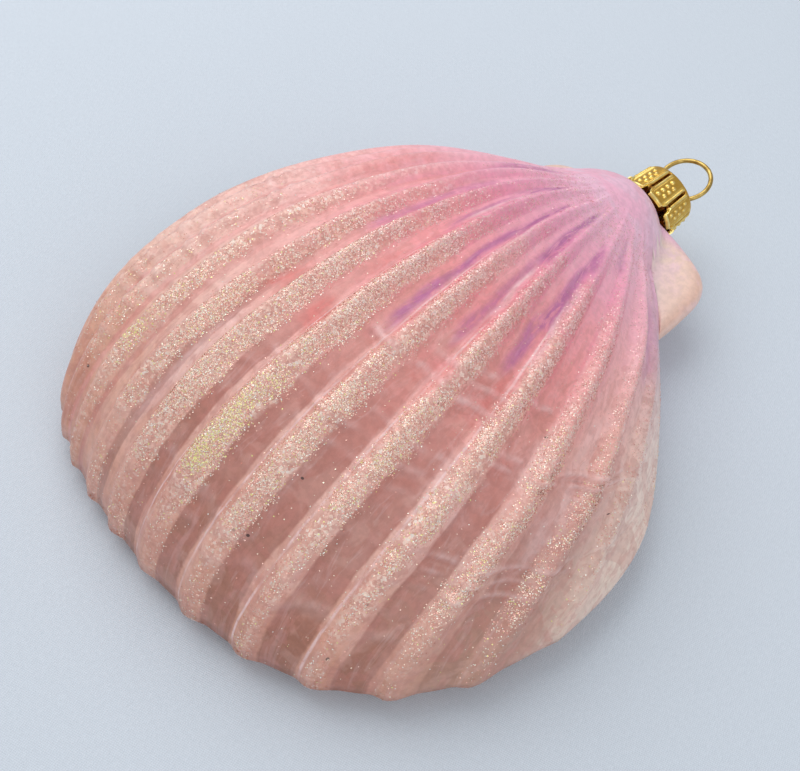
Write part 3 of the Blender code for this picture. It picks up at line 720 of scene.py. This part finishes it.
flake_finish = bpy.data.materials.new("glitter")
flake_finish.use_nodes = True
tree = flake_finish.node_tree
gloss = tree.nodes["Principled BSDF"]
tint_value = add_node(tree, "ShaderNodeAttribute", attribute_name="tint").outputs["Fac"]
flake_colour = colour_ramp(tree, tint_value, (
    (0.00, (240, 166, 150)), (0.18, (252, 188, 172)), (0.36, (255, 226, 200)), (0.50, (255, 200, 186)),
    (0.64, (255, 242, 212)), (0.80, (255, 254, 244)), (0.88, (252, 200, 176)), (0.92, (255, 242, 158)),
    (1.00, (250, 250, 160))))
rosy_value = add_node(tree, "ShaderNodeAttribute", attribute_name="rosy").outputs["Fac"]
flake_colour = mix_colour(tree, times(tree, rosy_value, 0.75), flake_colour, (255, 206, 210))
tree.links.new(flake_colour, gloss.inputs["Base Color"])
gloss.inputs["Roughness"].default_value = 0.16
gloss.inputs["Metallic"].default_value = 0.25
gloss.inputs["Specular IOR Level"].default_value = 0.9
cell = np.arange(FLAKES)
side = int(math.ceil(math.sqrt(FLAKES)))
cell_corner = np.stack([cell % side, cell // side], axis=-1)[:, None, :] / side
cell_shape = np.array(((0.2, 0.2), (0.8, 0.2), (0.8, 0.8), (0.2, 0.8)))[None, :, :] / side
glitter_map = glitter_mesh.uv_layers.new(name="OFBake")
glitter_map.data.foreach_set("uv", (cell_corner + cell_shape).astype(np.float32).ravel())
glitter_map.active_render = True
glitter_mesh.materials.append(flake_finish)
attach(glitter, "root")

# ---------------------------------------------------------------------------------------------
# Cap. Thin brass pressed into a cup over the neck: eight panels with beaded middles and double
# raised borders, cut apart at the lower edge, and a flat top that the wire goes through.
# ---------------------------------------------------------------------------------------------

CAP_LENGTH = 7.0
CAP_BASE_RADIUS = 6.05
CAP_TOP_RADIUS = 5.45
CAP_WALL = 0.32
CAP_CORNER = 0.55
PANELS = 8
BEADS = ((1.7, -0.11), (2.3, 0.11), (2.9, -0.11), (3.5, 0.11), (4.1, -0.11), (4.7, 0.11), (5.3, -0.11))
NECK_FRAME = (RESTING @ Matrix.Translation((0.0, NECK_PIVOT[0], NECK_PIVOT[1]))
              @ Matrix.Rotation(NECK_TILT - math.pi / 2, 4, "X"))


def ridge(value, place, width):
    return np.exp(-(((value - place) / width) ** 2))


turn, rise = np.meshgrid(np.linspace(0.0, 2.0 * math.pi, PANELS * 36 + 1), np.linspace(0.0, 1.0, 56))
signed = turn * PANELS / (2.0 * math.pi)
signed = signed - np.floor(signed) - 0.5
panel = np.abs(signed)
notch = 1.3 * smooth_step((panel - 0.30) / 0.12) + 0.5 * smooth_step((panel - 0.44) / 0.04)
cap_z = notch + (CAP_LENGTH - notch) * rise
shape = 0.26 * ridge(panel, 0.375, 0.045) + 0.10 * ridge(panel, 0.27, 0.02)
shape = shape - 0.40 * smooth_step((panel - 0.44) / 0.04)
for row_z, place in BEADS:
    away = np.hypot((signed - place) * 4.55, cap_z - row_z)
    shape = shape + 0.24 * np.exp(-((away / 0.32) ** 4))
shape = shape + 0.30 * smooth_step((0.9 - (cap_z - notch)) / 0.3) * (panel < 0.44)
shape = shape * smooth_step((cap_z - notch) / 0.5) * (1.0 - smooth_step((cap_z - 6.0) / 0.6))
corner = np.clip((cap_z - (CAP_LENGTH - CAP_CORNER)) / CAP_CORNER, 0.0, 1.0)
cap_radius = CAP_BASE_RADIUS + (CAP_TOP_RADIUS - CAP_BASE_RADIUS) * cap_z / CAP_LENGTH + shape
cap_radius = cap_radius - CAP_CORNER * (1.0 - np.sqrt(1.0 - corner**2 * 0.98))
cap = add_sheet("stamped_cap", cap_radius * np.cos(turn), cap_radius * np.sin(turn), cap_z,
                {"pressed": shape})
bpy.ops.object.select_all(action="DESELECT")
cap.select_set(True)
bpy.context.view_layer.objects.active = cap
bpy.ops.object.mode_set(mode="EDIT")
bpy.ops.mesh.select_all(action="SELECT")
bpy.ops.mesh.remove_doubles(threshold=0.002)
bpy.ops.mesh.select_all(action="DESELECT")
bpy.ops.object.mode_set(mode="OBJECT")
for vertex in cap.data.vertices:
    vertex.select = vertex.co.z > CAP_LENGTH - 0.005
bpy.ops.object.mode_set(mode="EDIT")
bpy.ops.mesh.select_mode(type="VERT")
for shrink in (0.97, 0.90, 0.75, 0.5):
    bpy.ops.mesh.extrude_region_move()
    bpy.ops.transform.resize(value=(shrink, shrink, 1.0), center_override=(0.0, 0.0, CAP_LENGTH))
bpy.ops.mesh.merge(type="CENTER")
bpy.ops.mesh.select_all(action="SELECT")
bpy.ops.mesh.normals_make_consistent(inside=False)
bpy.ops.object.mode_set(mode="OBJECT")
wall = cap.modifiers.new("wall", "SOLIDIFY")
wall.thickness = CAP_WALL
wall.offset = -1.0
bpy.ops.object.modifier_apply(modifier=wall.name)
cap.data.transform(NECK_FRAME)
bpy.ops.object.shade_smooth_by_angle(angle=math.radians(50))

# Tarnish: cloudy dulling of lacquered brass, from 0 to 1, on the cap and the wire alike.
tarnish_group = bpy.data.node_groups.new("tarnish", "ShaderNodeTree")
tarnish_group.interface.new_socket(name="Place", in_out="INPUT", socket_type="NodeSocketVector")
tarnish_group.interface.new_socket(name="Fineness", in_out="INPUT", socket_type="NodeSocketFloat")
tarnish_group.interface.new_socket(name="Dullness", in_out="OUTPUT", socket_type="NodeSocketFloat")
group_in = add_node(tarnish_group, "NodeGroupInput")
clouds = noise(tarnish_group, group_in.outputs["Place"], 1.0, 3.0, 0.6)
plug(tarnish_group, clouds.node.inputs["Scale"], group_in.outputs["Fineness"])
group_out = add_node(tarnish_group, "NodeGroupOutput")
plug(tarnish_group, group_out.inputs["Dullness"], clouds)


def tarnish_on(tree, fineness):
    node = add_node(tree, "ShaderNodeGroup", node_tree=tarnish_group)
    plug(tree, node.inputs["Place"], add_node(tree, "ShaderNodeTexCoord").outputs["Object"])
    node.inputs["Fineness"].default_value = fineness
    return node.outputs["Dullness"]


brass = bpy.data.materials.new("gold_lacquer")
brass.use_nodes = True
tree = brass.node_tree
gloss = tree.nodes["Principled BSDF"]
pressed = add_node(tree, "ShaderNodeAttribute", attribute_name="pressed").outputs["Fac"]
tarnish = tarnish_on(tree, 900.0)
# Painted shade and highlight: dark brown in the pressed-in hollows and cut gaps, pale gold on raised borders
# and beads.
gold_with_painted_light = colour_ramp(tree, ramp_between(tree, pressed, -0.30, 0.26), (
    (0.00, (92, 42, 12)), (0.38, (170, 116, 40)), (0.58, (222, 176, 82)), (0.80, (250, 216, 122)),
    (1.00, (255, 232, 150))))
gold_with_painted_light = mix_colour(tree, ramp_between(tree, tarnish, 0.40, 0.70, 0.0, 0.5), gold_with_painted_light, (196, 146, 54))
tree.links.new(gold_with_painted_light, gloss.inputs["Base Color"])
gloss.inputs["Metallic"].default_value = 1.0
plug(tree, gloss.inputs["Roughness"], ramp_between(tree, tarnish, 0.3, 0.7, 0.22, 0.36))
cap.data.materials.clear()
cap.data.materials.append(brass)
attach(cap, "root")
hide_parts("cap")

# ---------------------------------------------------------------------------------------------
# Hanger. Drawn brass wire bent into a loop, turned and leaning a little, whose two straight legs
# go through the cap's top into the neck.
# ---------------------------------------------------------------------------------------------

WIRE_RADIUS = 0.42
LOOP_RADIUS = 4.43
LOOP_RISE = 3.7
LOOP_TURN = math.radians(-6.5)
LOOP_LEAN = math.radians(5.2)
LOOP_SHIFT = 0.3
LEG_PLACE = 2.4
LEG_DROPS = (1.2, 4.5, 6.0)
LOOP_FRAME = (NECK_FRAME @ Matrix.Translation((0.0, 0.0, CAP_LENGTH)) @ Matrix.Rotation(LOOP_TURN, 4, "Z")
              @ Matrix.Rotation(LOOP_LEAN, 4, "X") @ Matrix.Translation((LOOP_SHIFT, 0.0, 0.0)))
bpy.ops.object.select_all(action="DESELECT")
bpy.ops.mesh.primitive_torus_add(major_radius=LOOP_RADIUS, minor_radius=WIRE_RADIUS, major_segments=96,
                                 minor_segments=16, rotation=(math.pi / 2, 0.0, 0.0),
                                 location=(0.0, 0.0, LOOP_RISE))
hanger = bpy.context.active_object
hanger.name = hanger.data.name = "wire_hanger"
bpy.ops.object.transform_apply(location=True, rotation=True, scale=True)
bpy.ops.object.mode_set(mode="EDIT")
bpy.ops.mesh.select_all(action="DESELECT")
bpy.ops.object.mode_set(mode="OBJECT")
open_below = math.atan2(-LOOP_RISE, LEG_PLACE) + 0.02
for vertex in hanger.data.vertices:
    vertex.select = math.atan2(vertex.co.z - LOOP_RISE, abs(vertex.co.x)) < open_below
bpy.ops.object.mode_set(mode="EDIT")
bpy.ops.mesh.delete(type="VERT")
bpy.ops.mesh.select_mode(type="EDGE")
bpy.ops.mesh.select_all(action="SELECT")
bpy.ops.mesh.region_to_loop()
for drop in LEG_DROPS:
    bpy.ops.mesh.extrude_edges_move(TRANSFORM_OT_translate={"value": (0.0, 0.0, -drop)})
bpy.ops.mesh.edge_face_add()
bpy.ops.mesh.select_all(action="SELECT")
bpy.ops.mesh.normals_make_consistent(inside=False)
bpy.ops.object.mode_set(mode="OBJECT")
hanger.data.transform(LOOP_FRAME)
bpy.ops.object.shade_smooth_by_angle(angle=math.radians(50))

wire = bpy.data.materials.new("spring_brass")
wire.use_nodes = True
tree = wire.node_tree
gloss = tree.nodes["Principled BSDF"]
dull = tarnish_on(tree, 700.0)
wire_colour = mix_colour(tree, ramp_between(tree, dull, 0.35, 0.7), (214, 184, 110), (168, 136, 72))
tree.links.new(wire_colour, gloss.inputs["Base Color"])
gloss.inputs["Metallic"].default_value = 1.0
plug(tree, gloss.inputs["Roughness"], ramp_between(tree, dull, 0.3, 0.7, 0.28, 0.42))
hanger.data.materials.clear()
hanger.data.materials.append(wire)
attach(hanger, "root")
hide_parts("hanger")

# ---------------------------------------------------------------------------------------------
# Ground: one sheet of fine pale cloth, drawn flat, under soft light from a large window.
# ---------------------------------------------------------------------------------------------

bpy.ops.object.select_all(action="DESELECT")
bpy.ops.mesh.primitive_plane_add(size=3.0, location=(0.0, 0.0, shell_low.z))
floor = bpy.context.active_object
floor.name = "cloth_ground"
bpy.ops.object.transform_apply(location=True, rotation=True, scale=True)
cloth = bpy.data.materials.new("cloth_ground")
cloth.use_nodes = True
tree = cloth.node_tree
gloss = tree.nodes["Principled BSDF"]
coords = add_node(tree, "ShaderNodeTexCoord").outputs["Object"]
threads = add_node(tree, "ShaderNodeMapping")
plug(tree, threads.inputs["Vector"], coords)
threads.inputs["Rotation"].default_value = (0.0, 0.0, math.radians(22))
threads.inputs["Scale"].default_value = (15000.0, 15000.0, 1.0)
warp_weft = add_node(tree, "ShaderNodeSeparateXYZ")
tree.links.new(threads.outputs["Vector"], warp_weft.inputs[0])
slub = noise(tree, coords, 1500.0, 2.0, 0.6)
warp = math_node(tree, "SINE", math_node(tree, "ADD", warp_weft.outputs["X"], times(tree, slub, 6.0)))
weft = math_node(tree, "SINE", math_node(tree, "ADD", warp_weft.outputs["Y"], times(tree, slub, 6.0)))
weave = math_node(tree, "ADD", times(tree, warp, weft), times(tree, slub, 1.5))
thread_colour = mix_colour(tree, ramp_between(tree, weave, -0.8, 2.2), (202, 210, 219), (218, 226, 235))
tree.links.new(thread_colour, gloss.inputs["Base Color"])
bump = add_node(tree, "ShaderNodeBump")
bump.inputs["Strength"].default_value = 0.25
bump.inputs["Distance"].default_value = 0.0001
tree.links.new(weave, bump.inputs["Height"])
tree.links.new(bump.outputs["Normal"], gloss.inputs["Normal"])
gloss.inputs["Roughness"].default_value = 0.9
gloss.inputs["Specular IOR Level"].default_value = 0.1
floor.data.materials.append(cloth)

# ---------------------------------------------------------------------------------------------
# Camera and lamps. The camera stands beside the shell and moves with it. A broad window lamp stands
# high on one side, a room lamp fills in from the other, and the sky is pale and even.
# ---------------------------------------------------------------------------------------------

CAMERA_AIM = Vector((3.015, -55.336, 0.0))
CAMERA_DISTANCE = 203.82
azimuth, elevation, roll = (math.radians(angle) for angle in (45.17, 53.39, 6.19))
back = Vector((math.sin(azimuth) * math.cos(elevation), -math.cos(azimuth) * math.cos(elevation),
               math.sin(elevation)))
level = Vector((math.cos(azimuth), math.sin(azimuth), 0.0))
upward = back.cross(level)
right = level * math.cos(roll) + upward * math.sin(roll)
top = upward * math.cos(roll) - level * math.sin(roll)
eye = CAMERA_AIM + back * CAMERA_DISTANCE
camera_data = bpy.data.cameras.new("camera")
camera_data.lens = 58.5
camera_data.sensor_width = 36.0
camera_data.clip_start = 0.01
camera = bpy.data.objects.new("camera", camera_data)
bpy.context.scene.collection.objects.link(camera)
beside_shell = RESTING @ Matrix((
    (right.x, top.x, back.x, eye.x),
    (right.y, top.y, back.y, eye.y),
    (right.z, top.z, back.z, eye.z),
    (0.0, 0.0, 0.0, 1.0)))
camera.matrix_world = beside_shell.normalized()
bpy.context.scene.camera = camera

aim = UMBO + Vector((0.0, -50.0, 5.0)) * MM


def add_lamp(name, direction, distance, size, power):
    data = bpy.data.lights.new(name, "AREA")
    data.shape = "DISK"
    data.size = size
    data.energy = power
    lamp = bpy.data.objects.new(name, data)
    bpy.context.scene.collection.objects.link(lamp)
    lamp.location = aim + Vector(direction).normalized() * distance
    lamp.rotation_euler = Vector(direction).to_track_quat("Z", "Y").to_euler()


add_lamp("window", (-0.80, 0.05, 1.1), 0.5, 0.6, 1.50)
add_lamp("room", (0.85, -0.35, 0.7), 0.8, 0.8, 1.4)
world = bpy.data.worlds.new("studio")
world.use_nodes = True
sky = world.node_tree.nodes["Background"]
sky.inputs["Color"].default_value = (0.93, 0.96, 1.0, 1.0)
sky.inputs["Strength"].default_value = 0.56
bpy.context.scene.world = world
bpy.context.scene.view_settings.view_transform = "Standard"
